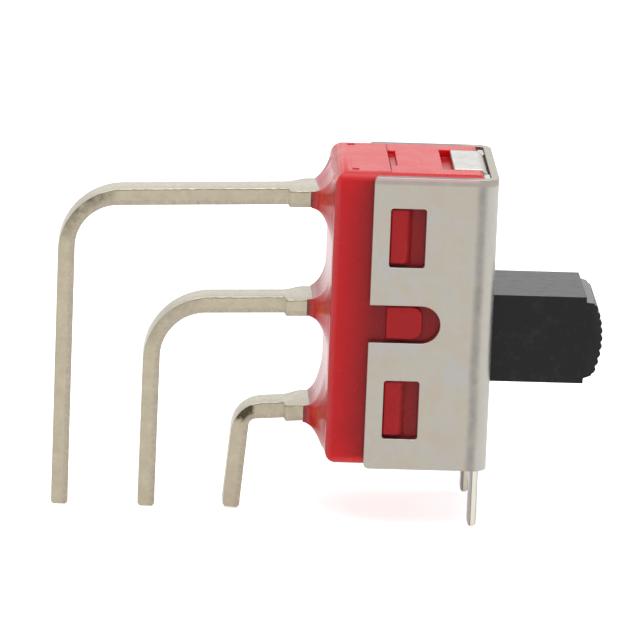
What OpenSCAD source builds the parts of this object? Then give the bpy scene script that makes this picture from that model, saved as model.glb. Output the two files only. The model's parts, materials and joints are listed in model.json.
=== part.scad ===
// Sub-miniature slide switch, single pole, two positions, standing upright on right-angle leads.
// Frame: the origin lies on the board, midway between the two pins of the support bracket.
// +X points out of the cover along the knob, +Y across the switch, +Z up along the slide.
// z = 0 is the board surface: the bracket's lower edge rests on it, and pins and leads pass it.

/* [Knob and slide] */
// Length of the knob along the slide
knob_len = 3.78; // [3:0.02:5]
// Width of the knob across the switch
knob_w = 4.3; // [3.6:0.05:6]
// How far the knob's straight block stands out of the cover
knob_out = 4; // [1.5:0.1:8]
// Height of the domed crown above the block
crown_rise = 0.74; // [0.6:0.02:1.2]
// Height of the crown's plain sides below its ribs
crown_side = 0.42; // [0.2:0.02:0.5]
// Ledge of the block left bare at each end of the crown
crown_ledge = 0.22; // [0.1:0.02:0.5]
// How far the crown's sides lean in over their height
crown_draft = 0.1; // [0.02:0.02:0.2]
// Number of grip ribs across the crown
rib_count = 9; // [5:1:12]
// Radius of each grip rib
rib_r = 0.2; // [0.15:0.01:0.25]
// How far the ribs stand out of the crown
rib_depth = 0.08; // [0.04:0.01:0.12]
// How far the knob slides from its lower stop to its upper stop
travel = 1.56; // [1:0.02:2.2]
// Clearance round everything that slides or turns
run_gap = 0.05; // [0.03:0.01:0.08]
// Thickness of the slide base behind the bracket
base_t = 0.9; // [0.6:0.05:1.5]
// How far the slide base is wider than the knob on each side
base_side = 0.15; // [0.1:0.05:0.4]
// How far the slide base still covers the cover's slot at each stop
base_lip = 0.45; // [0.3:0.05:0.8]
// Width of the square boss that holds the spring
boss_w = 2.6; // [2.3:0.1:3.4]
// Length of the boss behind the slide base
boss_len = 1.2; // [0.8:0.1:2]

/* [Spring and plunger] */
// Diameter of the spring bore in the slide
bore_d = 1.6; // [1.4:0.05:1.8]
// Wire diameter of the spring
wire_d = 0.18; // [0.12:0.01:0.24]
// Clearance between the spring and its bore
spring_gap = 0.06; // [0.04:0.01:0.1]
// Length of the spring as fitted
spring_len = 2.2; // [1.4:0.1:3]
// Number of turns in the spring
spring_turns = 5; // [3:0.5:8]
// Diameter of the plunger's nose
nose_d = 1; // [0.8:0.05:1.2]
// How far the nose stands out of the boss
nose_out = 0.98; // [0.7:0.02:1.6]
// Thickness of the plunger's collar
collar_t = 0.4; // [0.3:0.05:0.6]

/* [Contacts] */
// Thickness of the rocking contact arm
arm_t = 0.25; // [0.2:0.01:0.35]
// Width of the rocking contact arm
arm_w = 1.24; // [1.1:0.02:1.3]
// Reach of each wing of the arm from its pivot
arm_reach = 4.45; // [4.2:0.05:4.6]
// Angle that the arm rocks through
rock_angle = 10; // [6:0.5:14]
// Radius of the arm's pivot rod
pivot_r = 0.15; // [0.13:0.01:0.18]
// Gap between the plunger's nose and the arm
nose_gap = 0.05; // [0.04:0.01:0.08]
// Gap that keeps the closed contacts from touching in the model
touch_gap = 0.02; // [0.01:0.01:0.04]
// Diameter of each silver contact
button_d = 1.2; // [0.8:0.05:1.5]
// Thickness of each silver contact
button_t = 0.2; // [0.15:0.01:0.3]
// Distance of each silver contact from the pivot
button_z = 3.85; // [3.7:0.05:3.9]

/* [Terminals] */
// Distance between neighbouring terminals along the case
lead_pitch = 4.7; // [4.6:0.05:5.6]
// Distance between neighbouring rows of legs on the board
row_pitch = 3.81; // [3:0.05:5.08]
// Distance from the case's rear face to the nearest row of legs
first_row = 3.66; // [3.2:0.02:6]
// Thickness of the terminals
lead_t = 0.69; // [0.5:0.01:0.8]
// Width of the legs
lead_w = 1.3; // [1:0.05:1.6]
// Width of the terminals at the case
lug_w = 2.4; // [2:0.05:2.8]
// How far the wide part reaches out of the case
lug_len = 1.84; // [1.4:0.02:2.4]
// Length over which the wide part narrows to the leg
lug_taper = 0.18; // [0.1:0.02:0.4]
// Inner bend radius of the upper and middle terminals
bend_r = 2; // [0.6:0.02:2.2]
// Inner bend radius of the lower terminal
low_bend_r = 0.32; // [0.2:0.02:0.8]
// Slope of the terminals down and away from the case, in degrees
lead_droop = 1.8; // [0:0.1:4]
// Outward lean of the upper and middle legs, in degrees
leg_lean = 0.4; // [0:0.1:3]
// Outward lean of the lower leg, in degrees
low_lean = 4.6; // [0:0.1:6]
// How far the legs pass through the board
leg_tail = 1.88; // [1.5:0.02:4]
// Chamfer at the tips of the legs and pins
tip_chamfer = 0.1; // [0.05:0.01:0.2]
// Clearance round the terminals in the case's rear wall
slot_gap = 0.02; // [0.01:0.01:0.05]
// Thickness of the foot that carries each silver contact
foot_t = 0.45; // [0.35:0.05:0.6]
// Reach of the foot from its terminal towards the pivot
foot_len = 1.2; // [1.1:0.05:1.4]
// Width of each prong of the middle terminal's fork
prong_w = 0.4; // [0.3:0.02:0.5]

/* [Case] */
// Thickness of the case's side walls
side_wall = 0.6; // [0.4:0.05:1]
// Thickness of the case's top and bottom walls
end_wall = 1.2; // [1:0.05:1.8]
// Thickness of the case's rear wall
rear_wall = 2.14; // [1.4:0.02:3]
// Room between the outer terminals and the chamber's ends
end_room = 0.105; // [0.05:0.005:0.3]
// How far the case stands above the cover's upper edge
case_shift = 0.09; // [0:0.01:0.3]
// Edge radius of the case
case_r = 0.42; // [0.1:0.02:0.5]
// Bevel on the case's upper and lower front edges
front_bevel = 0.13; // [0.05:0.01:0.2]
// Clearance round the support bracket's tab in its recess
tab_gap = 0.06; // [0.03:0.01:0.12]
// How far the tab's recess runs on behind the tab
recess_run = 0.48; // [0.1:0.02:0.8]
// Width of the small moulding recess in the top
gate_w = 2.7; // [1.5:0.1:3.5]
// Length of the small moulding recess in the top
gate_len = 0.3; // [0.2:0.02:0.5]
// Depth of the small moulding recess in the top
gate_depth = 0.2; // [0.1:0.02:0.4]
// Distance of the two moulding marks from the case's rear face
mark_x = 0.85; // [0.6:0.05:1.4]
// Distance between the two moulding marks across the top
mark_pitch = 4.54; // [3:0.02:4.8]
// Diameter of each moulding mark
mark_d = 0.3; // [0.2:0.02:0.5]
// Depth of each moulding mark
mark_depth = 0.06; // [0.02:0.01:0.1]

/* [Cover] */
// Sheet thickness of the cover
cover_t = 0.33; // [0.25:0.01:0.45]
// Outer bend radius of the cover
cover_bend_r = 0.6; // [0.5:0.02:0.9]
// Length of the cover's side flaps from its front face
flap_len = 5.24; // [4.9:0.02:5.8]
// Clearance between the cover and the case
cover_gap = 0.02; // [0.01:0.01:0.05]
// Corner radius of the flaps
flap_r = 0.22; // [0.1:0.02:0.5]
// Length of each latch hole in the flaps
latch_h = 2.54; // [2:0.02:3]
// Width of each latch hole in the flaps
latch_w = 1.5; // [1.2:0.02:1.8]
// Distance from the cover's front face to the middle of the latch holes
latch_x = 3.76; // [3.6:0.02:4]
// Distance between the two latch holes of one flap
latch_pitch = 7.48; // [6.6:0.02:8]
// Height of the notch in the rear edge of each flap
notch_h = 1.62; // [1.2:0.02:2]
// Depth of the notch in the rear edge of each flap
notch_depth = 3; // [2.4:0.05:3.2]
// How far the lugs and bosses of the case stand out of its sides
lug_rise = 0.26; // [0.15:0.01:0.3]
// Clearance of the lugs and bosses in the cover's openings
lug_gap = 0.1; // [0.05:0.01:0.15]
// Bevel at the front of each latch lug
lug_bevel = 0.17; // [0.1:0.01:0.3]
// Corner radius of the boss in the notch
boss_r = 0.45; // [0.2:0.05:0.5]

/* [Support bracket] */
// Sheet thickness of the bracket
bracket_t = 0.3; // [0.2:0.01:0.5]
// Width of the bracket's plate inside the cover
bracket_w = 5.3; // [5.1:0.05:5.35]
// Distance between the two bracket pins on the board
pin_pitch = 5.08; // [4.4:0.02:5.4]
// Width of each bracket pin
pin_w = 0.8; // [0.4:0.02:0.9]
// How far the bracket holds the cover's lower edge off the board
stand_off = 0.76; // [0.4:0.02:1.5]
// How far the bracket pins pass through the board
pin_tail = 1.78; // [1.5:0.02:4]
// Width of the bracket's bent tab
tab_w = 3.44; // [2.4:0.02:3.8]
// Length of the bent tab from the plate's front face
tab_len = 1.5; // [1.2:0.02:1.9]
// Inner bend radius of the tab
tab_bend_r = 0.15; // [0.1:0.01:0.2]
// Width of the relief cut beside the tab
tab_relief = 0.12; // [0.08:0.01:0.25]
// How far the plate's shoulders stay below the cover's upper edge
shoulder_drop = 0.08; // [0.02:0.02:0.4]

/* [Epoxy seal] */
// Thickness of the seal between the terminals
seal_t = 0.2; // [0.1:0.02:0.3]
// Margin between the seal and the edges of the case's rear face
seal_margin = 0.28; // [0.1:0.02:0.4]
// How high the seal climbs along each terminal
seal_climb = 0.6; // [0.4:0.02:0.7]
// Radius of the hollow where the seal climbs a terminal
seal_r = 0.8; // [0.74:0.02:1]
// Height over which the seal thins out at the case's upper and lower edges
seal_ease = 0.6; // [0.2:0.05:0.8]

/* [Hidden] */
$fn = 64;
far = 30;      // longer than anything here, for cutters
skin = 0.01;   // how far a cutter passes the face that it opens
bend_ease = 0.002;   // how far a lead's bend is drawn past its tangent lines
stem_room = 0.9;     // left free in front of the plunger's stem
fork_lip = 0.1;      // how far the middle terminal's fork passes the pivot

red = [0.76, 0.13, 0.15];
seal_red = [0.80, 0.28, 0.30];
steel = [0.73, 0.71, 0.66];
tin = [0.80, 0.79, 0.74];
nylon_black = [0.16, 0.16, 0.16];
silver = [0.86, 0.86, 0.84];
brass = [0.78, 0.66, 0.38];

// Slide: all lengths along z are taken from the middle of the switch
slot_half = knob_len / 2 + travel / 2 + run_gap;
base_half = knob_len / 2 + travel + run_gap + base_lip;
base_w = knob_w + 2 * base_side;
chamber_w = base_w + 2 * run_gap;
chamber_half = max(lead_pitch + lead_t / 2 + end_room, base_half + travel / 2 + run_gap);
body_h = 2 * (chamber_half + end_wall);

// Widths, from the chamber outwards
case_w = chamber_w + 2 * side_wall;
cover_w = case_w + 2 * (cover_gap + cover_t);

// Depths along x, from the bracket's middle plane
bracket_front = bracket_t / 2;
bracket_rear = -bracket_t / 2;
cover_front = bracket_front + cover_t;
flap_rear = cover_front - flap_len;
case_front = bracket_rear;
base_front = case_front - run_gap;
base_rear = base_front - base_t;
boss_rear = base_rear - boss_len;
nose_tip = boss_rear - nose_out;
arm_front = nose_tip - nose_gap;
pivot_x = arm_front - arm_t / 2;
button_front = arm_front - arm_t - touch_gap;
foot_front = button_front - button_t;
chamber_floor = foot_front - foot_t;
case_rear = chamber_floor - rear_wall;
knob_face = cover_front + knob_out;

// Heights
cover_low = stand_off;
cover_top = cover_low + body_h;
mid_z = (cover_low + cover_top) / 2;
case_mid = mid_z + case_shift;
case_low = cover_low + case_shift;
case_top = cover_top + case_shift;
knob_z = mid_z - travel / 2;

// Spring and plunger
coil_d = bore_d - 2 * spring_gap - wire_d;
collar_d = bore_d - 2 * run_gap;
collar_rear = boss_rear + run_gap;
collar_front = collar_rear + collar_t;
spring_front = collar_front + spring_len;
stem_d = coil_d - wire_d - 2 * spring_gap;
stem_len = spring_len - stem_room;

// Latches and notches
latch_r = 0.12;
parting_step = 0.02;
parting_x = cover_front - latch_x - latch_w / 2;
notch_end = flap_rear + notch_depth;
boss_h = notch_h - 2 * lug_gap;
boss_end = cover_front - latch_x + latch_w / 2;

// Rows of terminals, counted from the middle one
rows = [-1, 0, 1];
function lead_z(k) = case_mid + k * lead_pitch;

// Arms of the fork that carry the contact arm
fork_gap = lug_w / 2 - prong_w;
fork_floor = pivot_x - pivot_r - 2 * arm_t;
fork_front = pivot_x + fork_lip;
pivot_hole_r = pivot_r + slot_gap;

// A square with round corners, centred, in the plane
module round_rect(w, h, r) {
    square([w - 2 * r, h], center = true);
    square([w, h - 2 * r], center = true);
    for (x = [-1, 1], y = [-1, 1])
        translate([x * (w / 2 - r), y * (h / 2 - r)]) circle(r);
}

// A block given by its two opposite corners
module block(low, high) {
    translate(low) cube(high - low);
}

// What rounds off a square outside corner that lies at the origin and points to +x +y
module corner_cut(r) {
    difference() {
        translate([-r, -r]) square(r + skin);
        translate([-r, -r]) circle(r);
    }
}

// Stands a plane outline, drawn in x and z, up and extrudes it along y about the middle
module across(w) {
    rotate([90, 0, 0]) linear_extrude(w, center = true) children();
}

// Extrudes a plane outline, drawn in y and z, from x = low to x = high
module along_x(low, high) {
    translate([low, 0, 0]) rotate([90, 0, 90]) linear_extrude(high - low) children();
}

// Cuts both edges off a tip that is t thick and w wide, with the middle of its end at x, y, z
module tip_bevels(x, y, z, t, w) {
    for (side = [-1, 1])
        translate([x + side * t / 2, y, z])
            rotate([0, side * 45, 0])
                cube([tip_chamfer * sqrt(2), w + 2 * skin, 8 * tip_chamfer], center = true);
}

// Side view of the case: round rear edges, a fine step at the parting line and bevelled front edges
module case_profile() {
    half = body_h / 2;
    front_half = half - parting_step;
    translate([0, case_mid]) {
        translate([(case_rear + parting_x) / 2 + case_r / 2, 0])
            intersection() {
                round_rect(parting_x - case_rear + case_r, body_h, case_r);
                translate([-far - case_r / 2 + (parting_x - case_rear) / 2, -half]) square([far, body_h]);
            }
        polygon([
            [parting_x - case_r, -front_half], [case_front - front_bevel, -front_half],
            [case_front, -front_half + front_bevel], [case_front, front_half - front_bevel],
            [case_front - front_bevel, front_half], [parting_x - case_r, front_half]
        ]);
    }
}

// Latch lugs and centre boss on one side of the case; side is 1 or -1
module case_lugs(side) {
    face = case_w / 2;
    lug_half = latch_h / 2 - lug_gap;
    lug_rear = parting_x + cover_gap;
    lug_front = lug_rear + latch_w / 2;
    for (z = [-1, 1])
        translate([0, 0, mid_z + z * latch_pitch / 2 - lug_half])
            linear_extrude(2 * lug_half)
                polygon([
                    [lug_rear, 0], [lug_rear, side * (face + lug_rise)],
                    [lug_front, side * (face + lug_rise)], [lug_front + lug_bevel, side * face],
                    [lug_front + lug_bevel, 0]
                ]);
    translate([0, side * (face + lug_rise) / 2, mid_z])
        across(face + lug_rise) {
            translate([parting_x, -boss_h / 2]) square([boss_end - boss_r - parting_x, boss_h]);
            translate([boss_end - boss_r, boss_r - boss_h / 2]) square([boss_r, boss_h - 2 * boss_r]);
            for (end = [-1, 1])
                translate([boss_end - boss_r, end * (boss_h / 2 - boss_r)]) circle(boss_r);
        }
}

module case_chamber() {
    block([chamber_floor, -chamber_w / 2, case_mid - chamber_half],
          [case_front + skin, chamber_w / 2, case_mid + chamber_half]);
}

module lead_slots() {
    w = lug_w / 2 + slot_gap;
    h = lead_t / 2 + slot_gap;
    for (k = rows)
        block([case_rear - skin, -w, lead_z(k) - h], [chamber_floor + skin, w, lead_z(k) + h]);
}

// Recess in the top for the bracket's tab, with its front edge broken for the bend
module tab_recess() {
    floor_z = case_top - bracket_t - tab_gap;
    half = tab_w / 2 + tab_gap;
    recess_rear = bracket_front - tab_len - recess_run;
    block([recess_rear, -half, floor_z], [case_front + skin, half, case_top + skin]);
    across(2 * half)
        polygon([
            [case_front + skin, floor_z - 2 * tab_bend_r], [case_front + skin, floor_z + skin],
            [case_front - 2 * tab_bend_r, floor_z + skin], [case_front - 2 * tab_bend_r, floor_z],
            [case_front, floor_z - 2 * tab_bend_r]
        ]);
}

// The small recess at the parting line and the two round marks, all in the case's top
module moulding_marks() {
    block([parting_x, -gate_w / 2, case_top - gate_depth],
          [parting_x + gate_len, gate_w / 2, case_top + skin]);
    for (side = [-1, 1])
        translate([case_rear + mark_x, side * mark_pitch / 2, case_top - mark_depth])
            cylinder(h = mark_depth + skin, d = mark_d);
}

module case() {
    color(red)
        difference() {
            union() {
                intersection() {
                    across(case_w) case_profile();
                    along_x(case_rear, case_front)
                        translate([0, case_mid]) round_rect(case_w, body_h, case_r);
                }
                for (side = [-1, 1]) case_lugs(side);
            }
            case_chamber();
            lead_slots();
            tab_recess();
            moulding_marks();
        }
}

// Plan of the cover: a front plate with two flaps bent back
module cover_plan() {
    y = cover_w / 2 - cover_bend_r;
    translate([bracket_front, -y]) square([cover_t, 2 * y]);
    for (side = [0, 1])
        mirror([0, side]) {
            translate([flap_rear, cover_w / 2 - cover_t]) square([flap_len - cover_bend_r, cover_t]);
            translate([cover_front - cover_bend_r, y])
                intersection() {
                    difference() {
                        circle(cover_bend_r);
                        circle(cover_bend_r - cover_t);
                    }
                    square(cover_bend_r);
                }
        }
}

// Openings through both flaps, drawn in x and z
module flap_openings() {
    for (z = [-1, 1])
        translate([cover_front - latch_x, mid_z + z * latch_pitch / 2])
            round_rect(latch_w, latch_h, latch_r);
    translate([flap_rear - skin, mid_z - notch_h / 2])
        square([notch_depth - notch_h / 2 + skin, notch_h]);
    translate([notch_end - notch_h / 2, mid_z]) circle(notch_h / 2);
    for (end = [0, 1])
        translate([flap_rear, mid_z])
            mirror([0, end]) translate([0, body_h / 2]) mirror([1, 0]) corner_cut(flap_r);
}

// Opening for the knob through the cover and the bracket
module knob_slot() {
    block([bracket_rear - skin, -knob_w / 2 - run_gap, mid_z - slot_half],
          [cover_front + skin, knob_w / 2 + run_gap, mid_z + slot_half]);
}

module housing_cover() {
    color(steel)
        difference() {
            translate([0, 0, cover_low]) linear_extrude(body_h) cover_plan();
            across(cover_w + 2 * skin) flap_openings();
            knob_slot();
        }
}

// One bracket pin with a broken tip; side is 1 or -1
module bracket_pin(side) {
    y = side * pin_pitch / 2;
    difference() {
        block([bracket_rear, y - pin_w / 2, -pin_tail], [bracket_front, y + pin_w / 2, stand_off]);
        tip_bevels(0, y, -pin_tail, bracket_t, pin_w);
    }
}

// The bracket's upper end, bent back over the case
module bracket_tab() {
    out_r = tab_bend_r + bracket_t;
    centre_x = bracket_front - out_r;
    translate([centre_x, tab_w / 2, case_top - out_r])
        rotate([90, 0, 0])
            rotate_extrude(angle = 90) translate([tab_bend_r, 0]) square([bracket_t, tab_w]);
    block([bracket_front - tab_len, -tab_w / 2, case_top - bracket_t], [centre_x, tab_w / 2, case_top]);
}

module support_bracket() {
    bend_start = case_top - tab_bend_r - bracket_t;
    relief = tab_w / 2 + tab_relief;
    color(tin) {
        difference() {
            block([bracket_rear, -bracket_w / 2, 0], [bracket_front, bracket_w / 2, cover_top - shoulder_drop]);
            block([bracket_rear - skin, -relief, bend_start], [bracket_front + skin, relief, cover_top]);
            knob_slot();
        }
        bracket_tab();
        for (side = [-1, 1]) bracket_pin(side);
    }
}

// Crown of the knob: a low arch with round ribs across it
module knob_crown() {
    half = knob_len / 2 - crown_ledge;
    arch_half = half - crown_draft;
    arch_rise = crown_rise - crown_side;
    arch_r = (arch_half * arch_half + arch_rise * arch_rise) / (2 * arch_rise);
    centre = knob_face + crown_rise - arch_r;
    reach = asin(arch_half / arch_r) - asin(rib_r / arch_r);
    step = 2 * reach / (rib_count - 1);
    translate([0, 0, knob_z])
        across(knob_w) {
            intersection() {
                translate([centre, 0]) circle(arch_r - rib_depth, $fn = 180);
                polygon([
                    [base_front, -half], [knob_face, -half], [knob_face + crown_side, -arch_half],
                    [knob_face + crown_rise, -arch_half], [knob_face + crown_rise, arch_half],
                    [knob_face + crown_side, arch_half], [knob_face, half], [base_front, half]
                ]);
            }
            for (i = [0 : rib_count - 1])
                translate([centre, 0]) rotate(i * step - reach) translate([arch_r - rib_r, 0]) circle(rib_r);
        }
}

module actuator() {
    color(nylon_black)
        difference() {
            union() {
                block([base_front, -knob_w / 2, knob_z - knob_len / 2],
                      [knob_face, knob_w / 2, knob_z + knob_len / 2]);
                knob_crown();
                block([base_rear, -base_w / 2, knob_z - base_half], [base_front, base_w / 2, knob_z + base_half]);
                block([boss_rear, -boss_w / 2, knob_z - boss_w / 2], [base_rear, boss_w / 2, knob_z + boss_w / 2]);
            }
            translate([boss_rear - skin, 0, knob_z])
                rotate([0, 90, 0]) cylinder(h = spring_front + skin - boss_rear, d = bore_d);
        }
}

// Coil of round wire that stands on z = 0, as one swept tube
module coil(d, wire, len, turns) {
    sides = 8;
    per_turn = 16;
    steps = ceil(turns * per_turn);
    rise = len - wire;
    function ring(i) = [
        for (k = [0 : sides - 1])
            let (
                turn = 360 * turns * i / steps,
                around = 360 * k / sides,
                r = d / 2 + wire / 2 * cos(around)
            )
            [r * cos(turn), r * sin(turn), wire / 2 + rise * i / steps + wire / 2 * sin(around)]
    ];
    points = [for (i = [0 : steps]) each ring(i)];
    walls = [
        for (i = [0 : steps - 1], k = [0 : sides - 1])
            let (a = i * sides + k, b = i * sides + (k + 1) % sides)
            [a, a + sides, b + sides, b]
    ];
    start = [for (k = [0 : sides - 1]) k];
    finish = [for (k = [sides - 1 : -1 : 0]) steps * sides + k];
    polyhedron(points, concat(walls, [start, finish]));
}

module detent_spring() {
    color(silver)
        translate([collar_front, 0, knob_z])
            rotate([0, 90, 0]) coil(coil_d, wire_d, spring_len, spring_turns);
}

module plunger() {
    nose_z = nose_tip + nose_d / 2;
    color(brass)
        translate([0, 0, knob_z])
            rotate([0, 90, 0])
                rotate_extrude()
                    difference() {
                        union() {
                            translate([0, nose_z]) circle(d = nose_d);
                            translate([0, nose_z]) square([nose_d / 2, collar_rear - nose_z]);
                            translate([0, collar_rear]) square([collar_d / 2, collar_t]);
                            translate([0, collar_front]) square([stem_d / 2, stem_len]);
                        }
                        translate([-far, -far / 2]) square(far);
                    }
}

// One wing of the contact arm, from the pivot along z by the arm's reach
module arm_wing() {
    block([-arm_t / 2, -arm_w / 2, 0], [arm_t / 2, arm_w / 2, arm_reach]);
}

module contact_arm() {
    color(brass)
        translate([pivot_x, 0, case_mid]) {
            rotate([180, 0, 0]) arm_wing();
            rotate([0, rock_angle, 0]) arm_wing();
            rotate([90, 0, 0]) cylinder(h = lug_w - 2 * slot_gap, r = pivot_r, center = true);
        }
}

// Plan of a terminal: the wide part from x = front out of the case, then the narrow leg
module lead_plan(front) {
    lug_end = case_rear - lug_len;
    narrow = lug_end - lug_taper;
    polygon([
        [front, -lug_w / 2], [front, lug_w / 2], [lug_end, lug_w / 2], [narrow, lead_w / 2],
        [-far, lead_w / 2], [-far, -lead_w / 2], [narrow, -lead_w / 2], [lug_end, -lug_w / 2]
    ]);
}

// Side view of terminal k, drawn in x and z: straight inside the case from x = front, sloping from
// the case's rear face, bent round the inner radius r and down to its tip, leaning out by lean degrees
module lead_profile(k, front, r, lean) {
    half = lead_t / 2;
    mid_r = r + half;
    out_r = r + lead_t;
    board_x = case_rear - first_row - (k + 1) * row_pitch;
    mitre = half * tan(lead_droop / 2);
    // The bend's centre lies where the sloping part and the leg both meet it
    level = lead_z(k) - case_rear * tan(lead_droop) - mid_r / cos(lead_droop);
    lean_x = board_x + mid_r / cos(lean);
    centre_z = (level + lean_x * tan(lead_droop)) / (1 - tan(lean) * tan(lead_droop));
    centre = [lean_x + centre_z * tan(lean), centre_z];
    up = [-sin(lead_droop), cos(lead_droop)];
    out = [-cos(lean), sin(lean)];
    tip_shift = tan(lean) * (centre_z + leg_tail);
    difference() {
        polygon([
            [front, lead_z(k) - half], [front, lead_z(k) + half], [case_rear - mitre, lead_z(k) + half],
            centre + out_r * (up + out) / (1 + up * out),
            [centre[0] - out_r / cos(lean) - tip_shift, -leg_tail],
            [centre[0] - r / cos(lean) - tip_shift, -leg_tail],
            centre + r * out, centre, centre + r * up, [case_rear + mitre, lead_z(k) - half]
        ]);
        translate(centre) {
            circle(r + bend_ease);
            difference() {
                polygon([[0, 0], far * up, far * (up + out), far * out]);
                circle(out_r + bend_ease);
            }
        }
    }
}

// Terminal k as one blanked and bent strip; the inner end lies at x = front
module lead(k, front, r, lean) {
    tip_x = case_rear - first_row - (k + 1) * row_pitch - leg_tail * tan(lean);
    difference() {
        intersection() {
            across(lug_w + 2 * skin) lead_profile(k, front, r, lean);
            translate([0, 0, -far]) linear_extrude(2 * far) lead_plan(front);
        }
        tip_bevels(tip_x, 0, -leg_tail, lead_t, lead_w);
    }
}

// Foot inside the chamber that carries a silver contact; dir is 1 at the upper terminal and -1 at the lower
module contact_foot(dir) {
    reach = foot_len + lead_t / 2;
    translate([0, 0, lead_z(dir) - dir * reach / 2])
        block([chamber_floor, -lug_w / 2, -reach / 2], [foot_front, lug_w / 2, reach / 2]);
}

module terminal_upper() {
    color(tin) {
        lead(1, foot_front, bend_r, leg_lean);
        contact_foot(1);
    }
}

module terminal_middle() {
    color(tin)
        difference() {
            lead(0, fork_front, bend_r, leg_lean);
            block([fork_floor, -fork_gap, case_mid - lead_t], [fork_front + skin, fork_gap, case_mid + lead_t]);
            translate([pivot_x, 0, case_mid])
                rotate([90, 0, 0]) cylinder(h = lug_w + 2 * skin, r = pivot_hole_r, center = true);
            block([pivot_x, -lug_w, case_mid - pivot_hole_r], [fork_front + skin, lug_w, case_mid + pivot_hole_r]);
        }
}

module terminal_lower() {
    color(tin) {
        lead(-1, foot_front, low_bend_r, low_lean);
        contact_foot(-1);
    }
}

// Silver contact on a terminal's foot; dir is 1 for the upper one and -1 for the lower one
module silver_contact(dir) {
    color(silver)
        translate([foot_front, 0, case_mid + dir * button_z])
            rotate([0, 90, 0]) cylinder(h = button_t, d = button_d);
}

module silver_contact_upper() {
    silver_contact(1);
}

module silver_contact_lower() {
    silver_contact(-1);
}

// The seal round one terminal: a mound with hollow sides, standing on the layer
module seal_mound(z) {
    floor_x = case_rear - seal_t;
    y = lug_w / 2 + seal_r;
    h = lead_t / 2 + seal_r;
    difference() {
        block([floor_x - seal_climb, -y, z - h], [floor_x + skin, y, z + h]);
        for (side = [-1, 1]) {
            translate([floor_x - seal_r, 0, z + side * h])
                rotate([90, 0, 0]) cylinder(h = far, r = seal_r, center = true);
            translate([floor_x - seal_r, side * y, z]) cylinder(h = far, r = seal_r, center = true);
        }
    }
}

// Side view of the seal's layer, thinning out to the case's edges
module seal_layer() {
    half = body_h / 2 - seal_margin;
    translate([case_rear, case_mid])
        polygon([
            [0, -half], [0, half], [-seal_t, half - seal_ease], [-seal_t, seal_ease - half]
        ]);
}

module epoxy_seal() {
    y = case_w / 2 - seal_margin;
    color(seal_red)
        difference() {
            union() {
                across(2 * y) seal_layer();
                intersection() {
                    for (k = rows) seal_mound(lead_z(k));
                    block([-far, -y, case_low + seal_margin], [case_rear, y, case_top - seal_margin]);
                }
            }
            across(lug_w) {
                lead_profile(1, case_rear + skin, bend_r, leg_lean);
                lead_profile(0, case_rear + skin, bend_r, leg_lean);
                lead_profile(-1, case_rear + skin, low_bend_r, low_lean);
            }
        }
}

case();
housing_cover();
support_bracket();
actuator();
detent_spring();
plunger();
contact_arm();
terminal_upper();
terminal_middle();
terminal_lower();
silver_contact_upper();
silver_contact_lower();
epoxy_seal();
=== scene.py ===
import json
import math

import bmesh
import bpy
from mathutils import Matrix, Vector, noise


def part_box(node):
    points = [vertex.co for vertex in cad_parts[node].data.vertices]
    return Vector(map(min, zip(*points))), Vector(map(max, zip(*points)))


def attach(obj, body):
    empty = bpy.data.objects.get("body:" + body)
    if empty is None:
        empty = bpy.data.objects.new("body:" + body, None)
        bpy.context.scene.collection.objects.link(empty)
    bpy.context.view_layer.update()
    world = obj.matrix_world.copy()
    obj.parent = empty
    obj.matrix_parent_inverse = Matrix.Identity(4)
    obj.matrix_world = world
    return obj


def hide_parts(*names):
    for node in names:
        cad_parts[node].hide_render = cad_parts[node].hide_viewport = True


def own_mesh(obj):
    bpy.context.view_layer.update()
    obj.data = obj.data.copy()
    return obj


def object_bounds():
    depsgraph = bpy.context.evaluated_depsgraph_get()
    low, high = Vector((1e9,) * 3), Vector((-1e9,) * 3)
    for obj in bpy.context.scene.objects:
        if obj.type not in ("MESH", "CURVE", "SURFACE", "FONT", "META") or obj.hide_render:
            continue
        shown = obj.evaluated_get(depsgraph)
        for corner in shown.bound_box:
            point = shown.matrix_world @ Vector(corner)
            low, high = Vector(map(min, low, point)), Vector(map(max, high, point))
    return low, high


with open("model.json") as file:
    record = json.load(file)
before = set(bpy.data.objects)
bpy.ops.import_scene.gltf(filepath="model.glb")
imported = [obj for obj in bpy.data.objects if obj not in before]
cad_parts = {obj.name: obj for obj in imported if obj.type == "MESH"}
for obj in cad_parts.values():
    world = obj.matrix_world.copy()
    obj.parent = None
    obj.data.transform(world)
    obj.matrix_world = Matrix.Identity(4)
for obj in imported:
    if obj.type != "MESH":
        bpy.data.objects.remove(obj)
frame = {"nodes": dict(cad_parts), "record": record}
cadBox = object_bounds()
mm = 0.001
touching = 0.005 * mm    # closer than this counts as the same place

# mm: the case's rear face, bottom, top and middle height, and how far its lugs reach sideways
caseStart, caseEnd = (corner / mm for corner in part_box("case"))
caseRear, caseLow, caseHigh, lugReach = caseStart.x, caseStart.z, caseEnd.z, caseEnd.y
caseMiddle = (caseLow + caseHigh) / 2

shot = {
    "target": (-6.683, 0, 6.342),    # mm
    "azimuth": -2.609,    # degrees, as the next two
    "elevation": 14.920,
    "roll": 2.265,
    "distance": 232.22,    # mm
    "lens": 306.2,    # mm
    "sensor": 36,    # mm
    "clip": 0.01,    # m
}


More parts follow.
